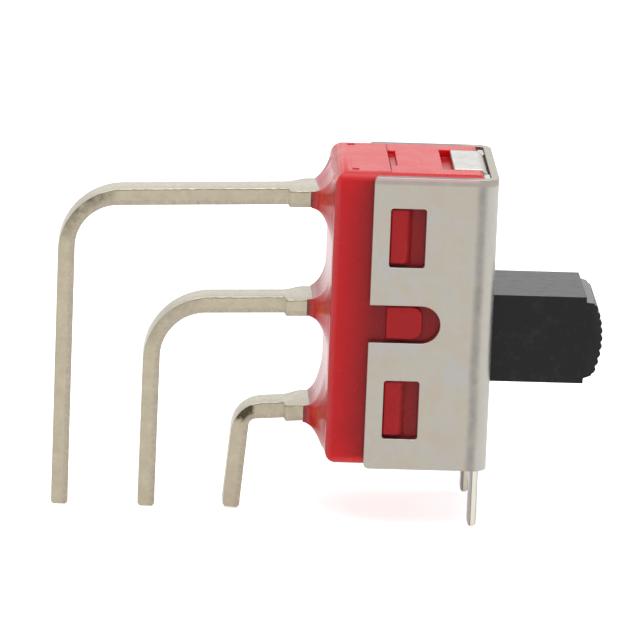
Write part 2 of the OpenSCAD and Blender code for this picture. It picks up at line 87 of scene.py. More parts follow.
def placeCamera():
    around, up = math.radians(shot["azimuth"]), math.radians(shot["elevation"])
    away = Vector((math.sin(around) * math.cos(up), -math.cos(around) * math.cos(up), math.sin(up)))
    data = bpy.data.cameras.new("shotCamera")
    data.lens = shot["lens"]
    data.sensor_width = shot["sensor"]
    data.clip_start = shot["clip"]
    camera = bpy.data.objects.new("shotCamera", data)
    bpy.context.collection.objects.link(camera)
    aim = (-away).to_track_quat("-Z", "Y").to_matrix().to_4x4()
    roll = Matrix.Rotation(math.radians(shot["roll"]), 4, "Z")
    spot = Matrix.Translation((Vector(shot["target"]) + away * shot["distance"]) * mm)
    camera.matrix_world = spot @ aim @ roll
    bpy.context.scene.camera = camera


studio = {
    "floorColour": 0.93, "floorRoughness": 0.9, "floorShine": 0.1,
    "floorGlow": 0.66,    # only the camera sees all of it
    "mirroredGlow": 0.458,    # share of it that reflections see
    "floorHalf": 3.0,    # m
    "floorGap": 0.07,    # mm under the solids, because the dressed leads end a little lower
    "worldLight": 0.52,
    "lampsAim": (-0.006, 0, 0.006),    # m, as the places and sizes of the lamps
    "lamps": {
        "keyLamp": {"place": (0.0, -0.18, 0.78), "size": 0.75, "watts": 3.4},
        "sideLamp": {"place": (0.75, 0.15, 0.35), "size": 0.5, "watts": 0.9},
        "backLamp": {"place": (-0.05, 0.9, 0.28), "size": 0.5, "watts": 0.2},
    },
}


def softLamp(name, lamp):
    data = bpy.data.lights.new(name, "AREA")
    data.shape = "DISK"
    data.size = lamp["size"]
    data.energy = lamp["watts"]
    light = bpy.data.objects.new(name, data)
    bpy.context.collection.objects.link(light)
    light.location = lamp["place"]
    light.rotation_euler = (Vector(studio["lampsAim"]) - light.location).to_track_quat("-Z", "Y").to_euler()


def maths(tree, operation, a, b=0):
    node = tree.nodes.new("ShaderNodeMath")
    node.operation = operation
    for slot, value in enumerate((a, b)):
        if isinstance(value, (int, float)):
            node.inputs[slot].default_value = value
        else:
            tree.links.new(value, node.inputs[slot])
    return node.outputs[0]


def seenDirectly(tree, mirrored=1.0):
    # 1 for camera rays, mirrored for glossy and transmission rays, 0 for light on the switch
    path = tree.nodes.new("ShaderNodeLightPath")
    total = path.outputs["Is Camera Ray"]
    for ray in ("Is Glossy Ray", "Is Transmission Ray"):
        total = maths(tree, "MAXIMUM", total, maths(tree, "MULTIPLY", path.outputs[ray], mirrored))
    return total


def buildRoom():
    world = bpy.data.worlds.new("paleRoom")
    bpy.context.scene.world = world
    world.use_nodes = True
    tree = world.node_tree
    background = tree.nodes["Background"]
    mix = tree.nodes.new("ShaderNodeMix")
    mix.data_type = "FLOAT"
    mix.inputs["A"].default_value = studio["worldLight"]
    mix.inputs["B"].default_value = 1
    tree.links.new(seenDirectly(tree), mix.inputs["Factor"])
    background.inputs["Color"].default_value = (1, 1, 1, 1)
    tree.links.new(mix.outputs["Result"], background.inputs["Strength"])


def buildFloor():
    mesh = bpy.data.meshes.new("floor")
    side = studio["floorHalf"]
    low = cadBox[0].z - studio["floorGap"] * mm
    mesh.from_pydata([(-side, -side, low), (side, -side, low), (side, side, low), (-side, side, low)],
                     [], [(0, 1, 2, 3)])
    floor = bpy.data.objects.new("floor", mesh)
    bpy.context.collection.objects.link(floor)
    material = bpy.data.materials.new("paleFloor")
    material.use_nodes = True
    tree = material.node_tree
    shader = tree.nodes["Principled BSDF"]
    level = studio["floorColour"]
    shader.inputs["Base Color"].default_value = (level, level, level, 1)
    shader.inputs["Roughness"].default_value = studio["floorRoughness"]
    shader.inputs["Specular IOR Level"].default_value = studio["floorShine"]
    shader.inputs["Emission Color"].default_value = (1, 1, 1, 1)
    glow = maths(tree, "MULTIPLY", seenDirectly(tree, studio["mirroredGlow"]), studio["floorGlow"])
    tree.links.new(glow, shader.inputs["Emission Strength"])
    mesh.materials.append(material)


placeCamera()
buildRoom()
buildFloor()
for name, lamp in studio["lamps"].items():
    softLamp(name, lamp)
bpy.context.scene.view_settings.view_transform = "Standard"
print("camera and studio ready")


# Materials: every texture is laid out in millimetres of the switch itself
def startMaterial(name, roughness, metallic=0.0):
    material = bpy.data.materials.new(name)
    material.use_nodes = True
    tree = material.node_tree
    shader = tree.nodes["Principled BSDF"]
    shader.inputs["Roughness"].default_value = roughness
    shader.inputs["Metallic"].default_value = metallic
    place = tree.nodes.new("ShaderNodeTexCoord")
    scale = tree.nodes.new("ShaderNodeMapping")
    scale.inputs["Scale"].default_value = (1 / mm, 1 / mm, 1 / mm)
    tree.links.new(place.outputs["Object"], scale.inputs["Vector"])
    return material, tree, shader, scale.outputs["Vector"]


def stretched(tree, where, factors, shift=(0, 0, 0)):
    mapping = tree.nodes.new("ShaderNodeMapping")
    mapping.inputs["Scale"].default_value = factors
    mapping.inputs["Location"].default_value = shift
    tree.links.new(where, mapping.inputs["Vector"])
    return mapping.outputs["Vector"]


def along(tree, where, axis):
    split = tree.nodes.new("ShaderNodeSeparateXYZ")
    tree.links.new(where, split.inputs["Vector"])
    return split.outputs[axis]


def ramped(tree, value, low, high, out=(0, 1)):
    # from out[0] at low to out[1] at high
    ramp = tree.nodes.new("ShaderNodeMapRange")
    ramp.inputs["From Min"].default_value = low
    ramp.inputs["From Max"].default_value = high
    ramp.inputs["To Min"].default_value = out[0]
    ramp.inputs["To Max"].default_value = out[1]
    tree.links.new(value, ramp.inputs["Value"])
    return ramp.outputs["Result"]


def mottle(tree, where, scale, low=0.35, high=0.65, detail=3.0):
    # cloudy mask from 0 to 1, with about scale clouds in a millimetre
    cloud = tree.nodes.new("ShaderNodeTexNoise")
    cloud.inputs["Scale"].default_value = scale
    cloud.inputs["Detail"].default_value = detail
    cloud.inputs["Roughness"].default_value = 0.55
    tree.links.new(where, cloud.inputs["Vector"])
    return ramped(tree, cloud.outputs["Fac"], low, high)


def painted(tree, mark):
    # how strongly a mark is painted on the mesh here
    paint = tree.nodes.new("ShaderNodeAttribute")
    paint.attribute_name = mark
    return paint.outputs["Fac"]


def tinted(tree, mask, base, over):
    # base and over are colours or sockets; mask chooses
    mix = tree.nodes.new("ShaderNodeMix")
    mix.data_type = "RGBA"
    tree.links.new(mask, mix.inputs["Factor"])
    for slot, value in (("A", base), ("B", over)):
        socket = [s for s in mix.inputs if s.name == slot and s.type == "RGBA"][0]
        if isinstance(value, tuple):
            socket.default_value = (*value, 1)
        else:
            tree.links.new(value, socket)
    return [s for s in mix.outputs if s.type == "RGBA"][0]


def bumped(tree, shader, height, depth, previous=None):
    # depth in mm
    bump = tree.nodes.new("ShaderNodeBump")
    bump.inputs["Strength"].default_value = 1
    bump.inputs["Distance"].default_value = depth * mm
    tree.links.new(height, bump.inputs["Height"])
    if previous:
        tree.links.new(previous, bump.inputs["Normal"])
    tree.links.new(bump.outputs["Normal"], shader.inputs["Normal"])
    return bump.outputs["Normal"]


# Each tone lies between two places in mm, from where it starts to where it is full: Rear and Along are
# places along the switch, Height is counted from the case's middle, side and raised from its middle plane
redLook = {
    "colour": (0.52, 0.0035, 0.007), "paler": (0.56, 0.006, 0.011), "dust": (0.55, 0.05, 0.05),
    "shine": 0.25, "roughness": (0.26, 0.3),
    "glow": 0.45, "glowColour": (1, 0.15, 0.1), "glowDepth": 1.2,    # mm light spreads inside the plastic
    "side": (2.6, 2.94), "raised": (3.05, 3.15), "raisedShade": 0.45,    # the lugs are less shaded
    # painted shade and painted light on the sides, and a painted sheen on the round edges
    "shaded": (0.30, 0.0035, 0.006), "shadedAlong": (-5.75, -4.55), "shadedHeight": (6.1, 5.95),
    "lit": (0.68, 0.007, 0.012), "litRear": (-5.7, -6.4), "litHeight": (5.0, 6.3), "litTop": (6.1, 6.3),
    "roundSheen": (0.68, 0.075, 0.08), "roundSheenRear": (-6.1, -6.4), "roundSheenHeight": (6.0, 6.3),
}


def redMoulding():
    material, tree, shader, where = startMaterial("redMoulding", 0.28)
    shader.inputs["Specular IOR Level"].default_value = redLook["shine"]
    shader.inputs["Subsurface Weight"].default_value = redLook["glow"]
    shader.inputs["Subsurface Radius"].default_value = redLook["glowColour"]
    shader.inputs["Subsurface Scale"].default_value = redLook["glowDepth"] * mm
    length = along(tree, where, "X")
    across = maths(tree, "ABSOLUTE", along(tree, where, "Y"))
    height = maths(tree, "ABSOLUTE", maths(tree, "SUBTRACT", along(tree, where, "Z"), caseMiddle))
    side = ramped(tree, across, *redLook["side"])
    # painted shade: the sides get darker towards the cover and under it
    shaded = maths(tree, "MULTIPLY", side, ramped(tree, length, *redLook["shadedAlong"]))
    lugs = ramped(tree, across, *redLook["raised"], (1, redLook["raisedShade"]))
    shaded = maths(tree, "MULTIPLY", shaded, lugs)
    shaded = maths(tree, "MULTIPLY", shaded, ramped(tree, height, *redLook["shadedHeight"]))
    # painted light: the sides are brighter near the top, bottom and rear edges, where light soaks in, and the
    # top and bottom are brighter all over
    lit = maths(tree, "MAXIMUM", ramped(tree, height, *redLook["litHeight"]),
                ramped(tree, length, *redLook["litRear"]))
    lit = maths(tree, "MAXIMUM", maths(tree, "MULTIPLY", side, lit), ramped(tree, height, *redLook["litTop"]))
    # painted sheen on the round edges at the top, bottom and rear of the sides
    roundSheen = maths(tree, "MAXIMUM", ramped(tree, height, *redLook["roundSheenHeight"]),
                    ramped(tree, length, *redLook["roundSheenRear"]))
    roundSheen = maths(tree, "MULTIPLY", side, roundSheen)
    colour = tinted(tree, mottle(tree, where, 0.7), redLook["colour"], redLook["paler"])
    specks = mottle(tree, where, 6, 0.85, 0.89, detail=0)
    for mask, tone in ((lit, "lit"), (shaded, "shaded"), (roundSheen, "roundSheen"), (specks, "dust")):
        colour = tinted(tree, mask, colour, redLook[tone])
    tree.links.new(colour, shader.inputs["Base Color"])
    gloss = ramped(tree, mottle(tree, where, 1.2, detail=0), 0, 1, redLook["roughness"])
    tree.links.new(gloss, shader.inputs["Roughness"])
    bumped(tree, shader, mottle(tree, where, 0.9, 0.2, 0.8, detail=1), 0.006)
    return material


sealLook = {
    "deep": (0.50, 0.004, 0.010), "pale": (0.60, 0.016, 0.026), "roughness": 0.17, "shine": 0.4,
    # amber flux has run out beside the lugs, and the resin is darker in a thin line where it meets them
    "amber": (0.66, 0.05, 0.011), "collar": (0.07, 0.02, 0.012),
}


def sealResin():
    material, tree, shader, where = startMaterial("sealResin", sealLook["roughness"])
    shader.inputs["Specular IOR Level"].default_value = sealLook["shine"]
    colour = tinted(tree, mottle(tree, where, 1.4), sealLook["pale"], sealLook["deep"])
    clouds = {"amber": mottle(tree, where, 3.5, 0.3, 0.6), "collar": mottle(tree, where, 6, 0.2, 0.6)}
    for mark, cloud in clouds.items():
        colour = tinted(tree, maths(tree, "MULTIPLY", painted(tree, mark), cloud), colour, sealLook[mark])
    tree.links.new(colour, shader.inputs["Base Color"])
    bumped(tree, shader, mottle(tree, where, 1.1, 0.2, 0.8, detail=1), 0.004)
    return material


# Places in mm, from where a tone starts to where it is full: edgeFade and lipBehind along the switch,
# rimHeight and lipHeight up it, the half width of the painted bend shade and brightPast from its darkest line
coverLook = {
    "steel": (0.44, 0.41, 0.35), "cool": (0.43, 0.41, 0.39), "warm": (0.44, 0.395, 0.33),
    "roughness": (0.38, 0.46), "edgeRadius": 0.025,
    # painted shade: the cut faces at top and bottom are dark grey, fading into the sheet's colour towards the
    # front
    "edge": (0.22, 0.21, 0.215), "edgeRubbed": (0.28, 0.27, 0.26), "edgeFade": (-0.9, -0.1),
    # painted shade: a dark band where the sheet starts to bend, and a painted highlight past it
    "wearAndShade": (0.25, 0.24, 0.225), "bendShadeAt": -0.235, "bendShadeSway": (-0.05, 0.05), "bendShadeHalf": (0.27, 0.06),
    "bright": (0.5, 0.485, 0.445), "brightPast": (0.1, 0.6),
    # painted shade: a duller band at the top, and over it a painted reflection of the red case on the lip
    "rim": (0.345, 0.305, 0.28), "rimHeight": (13.13, 13.19),
    "lip": (0.52, 0.36, 0.35), "lipHeight": (13.31, 13.36), "lipBehind": (-0.2, -0.5),
}


def cutEdge(name, colour, darker, roughness, bands=()):
    # bands: further colours along the switch, each with where it starts and where it is full (mm)
    material, tree, shader, where = startMaterial(name, roughness, 1)
    colour = tinted(tree, mottle(tree, where, 3), colour, darker)
    for start, full, other in bands:
        colour = tinted(tree, ramped(tree, along(tree, where, "X"), start, full), colour, other)
    tree.links.new(colour, shader.inputs["Base Color"])
    bumped(tree, shader, mottle(tree, where, 5, 0.2, 0.8), 0.002)
    return material


def stainlessSheet():
    material, tree, shader, where = startMaterial("stainlessSheet", 0.42, 1)
    length, height = along(tree, where, "X"), along(tree, where, "Z")
    cool = mottle(tree, where, 0.8, 0.4, 0.62)
    warm = mottle(tree, stretched(tree, where, (1, 1, 1), (7, 3, 1)), 1.1, 0.45, 0.65)
    # painted shade in a band where the sheet starts to bend, swaying a little, and a painted highlight past
    # it
    sway = ramped(tree, mottle(tree, where, 0.5, 0.2, 0.8), 0, 1, coverLook["bendShadeSway"])
    past = maths(tree, "SUBTRACT", maths(tree, "SUBTRACT", length, sway), coverLook["bendShadeAt"])
    bright = ramped(tree, past, *coverLook["brightPast"])
    wearAndShade = maths(tree, "MULTIPLY", ramped(tree, maths(tree, "ABSOLUTE", past), *coverLook["bendShadeHalf"]),
                 ramped(tree, mottle(tree, where, 1.4, 0.3, 0.7), 0, 1, (0.5, 1)))
    # painted shade in the rim band, and a painted reflection of the red case on the lip
    rim = maths(tree, "MULTIPLY", ramped(tree, height, *coverLook["rimHeight"]),
                ramped(tree, mottle(tree, where, 1.5, 0.3, 0.7), 0, 1, (0.6, 1)))
    lip = maths(tree, "MULTIPLY", ramped(tree, height, *coverLook["lipHeight"]),
                ramped(tree, length, *coverLook["lipBehind"]))
    colour = tinted(tree, cool, coverLook["steel"], coverLook["cool"])
    for mask, tone in ((warm, "warm"), (bright, "bright"), (wearAndShade, "wearAndShade"), (rim, "rim"), (lip, "lip")):
        colour = tinted(tree, mask, colour, coverLook[tone])
    tree.links.new(colour, shader.inputs["Base Color"])
    gloss = ramped(tree, mottle(tree, where, 4), 0, 1, coverLook["roughness"])
    tree.links.new(gloss, shader.inputs["Roughness"])
    grain = bumped(tree, shader, mottle(tree, where, 18, 0.2, 0.8), 0.0015)
    bumped(tree, shader, mottle(tree, where, 1.5, 0.2, 0.8), 0.006, grain)
    return material


leadLook = {
    # bright: a painted highlight along the leads' outer corners
    "tin": (0.49, 0.44, 0.335), "dull": (0.43, 0.38, 0.285), "bright": (0.53, 0.5, 0.42),
    # the tarnish tone also paints the shadow under the burr
    "pit": (0.16, 0.13, 0.09), "torn": (0.33, 0.28, 0.22), "tarnishAndShadow": (0.075, 0.058, 0.036),
    "roughness": (0.32, 0.44),
}
bracketLook = {
    "tin": (0.60, 0.60, 0.58), "dull": (0.5, 0.49, 0.46), "bright": (0.6, 0.6, 0.58),
    "pit": (0.25, 0.22, 0.18), "torn": (0.5, 0.45, 0.36), "tarnishAndShadow": (0.2, 0.17, 0.12),
    "roughness": (0.26, 0.36), "edgeRadius": 0.04,    # mm, as all below
    "cut": (0.7, 0.68, 0.58), "cutStain": (0.46, 0.41, 0.32),
    "pinFrom": 0.8, "pinSwell": 0.05,    # the pins are a little thicker than the plate
    # the shear rolled the pins' rear and front edges over; the rest of the cut is clean
    "rolled": (0.36, 0.365, 0.36), "line": (0.2, 0.18, 0.15),
    "pinBands": [(-0.125, -0.11, "line"), (-0.09, -0.07, "cut"), (0.1, 0.12, "rolled")],
}


def tinPlate(name, look):
    material, tree, shader, where = startMaterial(name, 0.36, 1)

    def brokenUp(mark, low, scale=4.0, detail=5):
        # a mark painted on the metal, broken up by a fine cloud
        cloud = mottle(tree, where, scale, 0.3, 0.7, detail)
        return maths(tree, "MULTIPLY", painted(tree, mark), ramped(tree, cloud, 0, 1, (low, 1)))

    colour = tinted(tree, mottle(tree, where, 1.6), look["tin"], look["dull"])
    # painted highlight along the strips' outer corners
    colour = tinted(tree, brokenUp("bright", 0.75), colour, look["bright"])
    fine = mottle(tree, where, 8, 0.4, 0.7, detail=4)
    colour = tinted(tree, ramped(tree, fine, 0, 1, (0, 0.5)), colour, look["dull"])
    # the punch tore the lower part of each side, and dirt sits there
    torn = brokenUp("torn", 0.15, 6, 4)
    colour = tinted(tree, torn, colour, look["torn"])
    dirt = maths(tree, "ADD", maths(tree, "MULTIPLY", torn, 0.6), 0.3)
    pits = mottle(tree, where, 9, 0.66, 0.74, detail=2)
    colour = tinted(tree, maths(tree, "MULTIPLY", pits, dirt), colour, look["pit"])
    # stained: the plating is cracked or oxidised; the same dark tone is also a painted shadow under the burr
    colour = tinted(tree, brokenUp("stainAndShadow", 0.3), colour, look["tarnishAndShadow"])
    tree.links.new(colour, shader.inputs["Base Color"])
    gloss = ramped(tree, mottle(tree, where, 5), 0, 1, look["roughness"])
    tree.links.new(gloss, shader.inputs["Roughness"])
    grain = bumped(tree, shader, mottle(tree, where, 14, 0.2, 0.8), 0.002)
    bumped(tree, shader, torn, -0.006, grain)
    return material


nylonLook = {
    "black": (0.0085, 0.0085, 0.0085), "wearAndShade": (0.02, 0.019, 0.019), "shine": 0.2, "roughness": (0.27, 0.34),
    # painted sheen on the crown's upper and lower side
    "crownSheen": (0.15, 0.148, 0.145), "crownSheenMarked": (0.2, 0.198, 0.19),    # the crown's upper and lower side
}


def blackNylon(name, base, marked):
    material, tree, shader, where = startMaterial(name, 0.3)
    shader.inputs["Specular IOR Level"].default_value = nylonLook["shine"]
    colour = tinted(tree, mottle(tree, where, 2.5, 0.55, 0.75), base, marked)
    tree.links.new(colour, shader.inputs["Base Color"])
    scuffed = mottle(tree, stretched(tree, where, (1, 2, 1)), 1.6, 0.55, 0.75)
    tree.links.new(ramped(tree, scuffed, 0, 1, nylonLook["roughness"]), shader.inputs["Roughness"])
    bumped(tree, shader, mottle(tree, where, 1.3, 0.2, 0.8, detail=1), 0.006)
    return material


# name, clean colour, marked colour and roughness of the metals inside the case
insideLook = {
    "spring_wire": ("springWire", (0.55, 0.55, 0.55), (0.4, 0.39, 0.37), 0.3),
    "brass_parts": ("brassParts", (0.72, 0.53, 0.22), (0.55, 0.38, 0.14), 0.3),
    "silver_contacts": ("silverContacts", (0.85, 0.84, 0.8), (0.62, 0.6, 0.56), 0.22),
}


def plainMetal(name, base, marked, roughness):
    material, tree, shader, where = startMaterial(name, roughness, 1)
    colour = tinted(tree, mottle(tree, where, 3), base, marked)
    tree.links.new(colour, shader.inputs["Base Color"])
    bumped(tree, shader, mottle(tree, where, 20, 0.2, 0.8), 0.003)
    return material


materials = {slot: plainMetal(*look) for slot, look in insideLook.items()}
materials["red_moulding"] = redMoulding()
materials["stainless_sheet"] = stainlessSheet()
materials["tin_plate"] = tinPlate("bracketTin", bracketLook)
materials["tin_plate_leads"] = tinPlate("leadTin", leadLook)
materials["black_nylon"] = blackNylon("blackNylon", nylonLook["black"], nylonLook["wearAndShade"])
materials["epoxy"] = sealResin()
slotOf = {row["node"]: row["material_slot"] for row in frame["record"]["subparts"]}
for node, piece in frame["nodes"].items():
    piece.data.materials.clear()
    piece.data.materials.append(materials[slotOf[node]])
print("materials ready")


def addPiece(name, mesh, body, node):
    piece = bpy.data.objects.new(name, mesh)
    bpy.context.collection.objects.link(piece)
    mesh.materials.clear()
    mesh.materials.append(materials[slotOf[node]])
    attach(piece, body)
    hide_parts(node)
    return piece


def shadeByAngle(mesh, degrees):
    for polygon in mesh.polygons:
        polygon.use_smooth = True
    mesh.set_sharp_from_angle(angle=math.radians(degrees))


def cleanSolid(node):
    # the node's own shape, with its flat faces whole again
    form = bmesh.new()
    form.from_mesh(frame["nodes"][node].data)
    bmesh.ops.remove_doubles(form, verts=form.verts, dist=0.001 * mm)
    bmesh.ops.dissolve_limit(form, angle_limit=math.radians(1), verts=form.verts, edges=form.edges)
    return form


def cutForm(form, point, towards, dropBeyond=False):
    # a flat cut through a point (mm)
    everything = form.verts[:] + form.edges[:] + form.faces[:]
    return bmesh.ops.bisect_plane(form, geom=everything, plane_co=[value * mm for value in point],
                                  plane_no=towards, clear_outer=dropBeyond)


def finishForm(form, name, body, node, sharp=35):
    # edges that turn by more than sharp degrees stay crisp
    mesh = bpy.data.meshes.new(name)
    form.to_mesh(mesh)
    form.free()
    shadeByAngle(mesh, sharp)
    return addPiece(name, mesh, body, node)


def paintFaces(piece, material, chosen):
    piece.data.materials.append(material)
    for face in piece.data.polygons:
        if chosen(face):
            face.material_index = len(piece.data.materials) - 1


def softEdges(piece, width):
    bevel = piece.modifiers.new("softEdges", "BEVEL")
    bevel.width = width * mm
    bevel.segments = 2
    bevel.limit_method = "ANGLE"
    bevel.angle_limit = math.radians(40)
    bevel.use_clamp_overlap = False
    flat = piece.modifiers.new("flatFaces", "WEIGHTED_NORMAL")
    flat.keep_sharp = True
    flat.weight = 100


# mm: the rear's top and bottom edges are rounder than the others, and cut up for it; all below bottom sits
# deeper. The lugs sit a little above the middle of the cover's openings, and the front of a latch lug slopes
# down from a ridge
case = {
    "round": 0.42, "rearRound": 0.6, "rearCuts": (0.6, 0.54, 0.48), "bottom": 1.6, "deeper": 0.055,
    "lugLift": 0.05, "ridgeBack": 0.13, "ridgeRound": 0.08, "rimRound": 0.07, "edge": 0.04,
}


def roundedBy(z, radius):
    # how far a round edge draws a face back at height z
    inset = max(0, radius - min(z - caseLow, caseHigh - z))
    return radius - math.sqrt(max(0, radius ** 2 - inset ** 2))


def roundRear(form):
    for depth in case["rearCuts"]:
        for z in (caseLow + depth, caseHigh - depth):
            cutForm(form, (0, 0, z), (0, 0, 1))
    for corner in form.verts:
        x, z = corner.co.x / mm, corner.co.z / mm
        if abs(x - caseRear - roundedBy(z, case["round"])) * mm < 4 * touching:
            corner.co.x = (caseRear + roundedBy(z, case["rearRound"])) * mm
        if z < case["bottom"]:
            corner.co.z -= case["deeper"] * mm


def lugFaces(form):
    return [face for face in form.faces
            if all(abs(abs(corner.co.y) - lugReach * mm) < touching for corner in face.verts)]


def roundOff(form, edges, radius):
    bmesh.ops.bevel(form, geom=edges, offset=radius * mm, segments=3, profile=0.5,
                    affect="EDGES", clamp_overlap=False)


def shapeLugs(form):
    lugs = {other for face in lugFaces(form) for corner in face.verts for edge in corner.link_edges
            for other in edge.verts}
    for corner in lugs:
        corner.co.z += case["lugLift"] * mm
    # a latch lug's ridge is the long front edge of its face; a boss has none longer than 1 mm there
    ridges = []
    for face in lugFaces(form):
        front = max(corner.co.x for corner in face.verts) - 2 * touching
        ridges += [edge for edge in face.edges
                   if min(corner.co.x for corner in edge.verts) > front and edge.calc_length() > 1 * mm]
    for corner in {corner for edge in ridges for corner in edge.verts}:
        corner.co.x -= case["ridgeBack"] * mm
    roundOff(form, ridges, case["ridgeRound"])
    rims = {edge for face in lugFaces(form) for edge in face.edges
            if min(abs(link.normal.y) for link in edge.link_faces) < 0.1}
    roundOff(form, list(rims), case["rimRound"])


def buildCase():
    form = cleanSolid("case")
    roundRear(form)
    shapeLugs(form)
    softEdges(finishForm(form, "redCase", "housing", "case"), case["edge"])


def buildCover():
    cover = finishForm(cleanSolid("housing_cover"), "steelCover", "housing", "housing_cover")
    # painted shade on the cut faces that face up and down
    edgeMetal = cutEdge("coverEdge", coverLook["edge"], coverLook["edgeRubbed"], 0.42,
                        [(*coverLook["edgeFade"], coverLook["steel"])])
    paintFaces(cover, edgeMetal, lambda face: abs(face.normal.z) > 0.95)
    softEdges(cover, coverLook["edgeRadius"])


def buildBracket():
    form = cleanSolid("support_bracket")
    pinFrom = bracketLook["pinFrom"] * mm
    for corner in form.verts:
        if corner.co.z < pinFrom and corner.co.x < 0:
            corner.co.x -= bracketLook["pinSwell"] * mm
    bracket = finishForm(form, "pinBracket", "housing", "support_bracket")
    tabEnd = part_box("support_bracket")[0].x

    def isCut(face):
        return abs(face.normal.y) > 0.9 or abs(face.center.x - tabEnd) < 2 * touching

    paintFaces(bracket, cutEdge("bracketEdge", bracketLook["cut"], bracketLook["cutStain"], 0.35), isCut)
    bands = [(start, full, bracketLook[tone]) for start, full, tone in bracketLook["pinBands"]]
    paintFaces(bracket, cutEdge("pinEdge", bracketLook["rolled"], bracketLook["rolled"], 0.35, bands),
               lambda face: isCut(face) and face.center.z < pinFrom)
    softEdges(bracket, bracketLook["edgeRadius"])


# mm: the crown stands grow times as tall, and its sides lean in by lean over leanOver
knob = {"crownFace": 4.48, "grow": 1.07, "lean": 0.24, "leanOver": 0.42, "edge": 0.025}


def buildKnob():
    form = cleanSolid("actuator")
    cutForm(form, (knob["crownFace"], 0, 0), (1, 0, 0))
    crown = knob["crownFace"] * mm
    for corner in form.verts:
        above = corner.co.x - crown
        if above > 0.001 * mm:
            corner.co.y -= math.copysign(above * knob["lean"] / knob["leanOver"], corner.co.y)
            corner.co.x = crown + above * knob["grow"]
    piece = finishForm(form, "slideKnob", "slide", "actuator")
    # painted sheen on the crown's upper and lower faces
    paintFaces(piece, blackNylon("crownSheenNylon", nylonLook["crownSheen"], nylonLook["crownSheenMarked"]),
               lambda face: abs(face.normal.z) > 0.9 and face.center.x > crown)
    softEdges(piece, knob["edge"])


def buildSpring():
    # the plunger presses the coil together by its whole travel, towards the knob; here the coil keeps the
    # solid's own shape
    mesh = frame["nodes"]["detent_spring"].data.copy()
    mesh.name = "detentCoil"
    shadeByAngle(mesh, 50)
    coil = addPiece("detentCoil", mesh, "slide", "detent_spring")
    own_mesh(coil)


buildCase()
buildCover()
buildBracket()
buildKnob()
buildSpring()
print("case, cover, bracket, knob and spring ready")

# Leads, in mm: blanked strips, sloping a little from the case and bent down to the board
strip = {
    "thickness": 0.71, "width": 1.3, "lugWidth": 2.4,
    "slotFrom": -6.0, "insideFrom": -6.1,    # in front of insideFrom the solid's own foot goes on
    "nearTaper": 0.06, "farLead": 0.8, "farTaper": 0.93,    # from the wide part to the narrow one
    "step": 0.12, "shoulderRoom": 0.05, "bendSteps": 24,    # how far apart the rings are
    "tipBevel": 0.1, "tipShare": 0.95, "unevenness": 0.012, "unevenScale": 1.3,
    "edge": 0.035, "tornBelow": -0.12, "tornHalf": 0.02, "tornSink": 0.004,
    # the punch left a ragged burr along the near edge; its thin shadow is painted on, and fades down the leg
    "burr": 0.05, "ragged": 0.04, "raggedScale": 4.3, "burrShade": 0.7, "burrFade": 0.6,
    "stainIn": 0.4, "stainOut": 0.5,    # radians over which the bend's stain comes and goes
    "stainFrom": 0.9, "stainOver": 1.3,    # half thicknesses over which it grows towards the outside
}
# droop and lean are the slopes in degrees of the two straight stretches. rise: how far above its slot a lead
# leaves the resin; easeOut and easeIn: how much larger the outer arc of the bend is, and how much smaller the
# inner one, than the strip's thickness would make them
leads = {
    "upper": {
        "level": 11.9, "rise": 0.05, "droop": 2.0, "lugEnd": -8.2, "board": -17.585, "lean": 0.08,
        "tip": -1.94, "bend": 2.0, "easeOut": 0.1, "easeIn": 0.17, "stain": 0.85,
    },
    "middle": {
        "level": 7.2, "rise": 0.0, "droop": 1.8, "lugEnd": -8.19, "board": -13.86, "lean": 0.4,
        "tip": -1.935, "bend": 2.0, "easeOut": 0.2, "easeIn": 0.04, "stain": 0.35,
    },
    "lower": {
        "level": 2.5, "rise": 0.12, "droop": 3.9, "lugEnd": -8.06, "board": -10.09, "lean": 4.6,
        "tip": -1.88, "bend": 0.32, "easeOut": 0.36, "easeIn": 0.0, "stain": 2.4,
    },
}
burrCorners = (6, 7)    # counted round the strip's section


def eased(value):
    value = min(1, max(0, value))
    return value * value * (3 - 2 * value)


def arcShift(radius, ease, half, swing, before):
    # how far towards the middle of the strip an eased arc lies: swing is the angle from the middle of
    # the bend, and before is the distance (mm) from the bend where the strip is still straight
    if before:
        back = max(0, ease - before)
        return radius + ease - math.sqrt((radius + ease) ** 2 - back ** 2)
    offset = ease / math.cos(half)
    reach = math.sqrt((radius + ease) ** 2 - (offset * math.sin(swing)) ** 2)
    return radius + offset * math.cos(swing) - reach


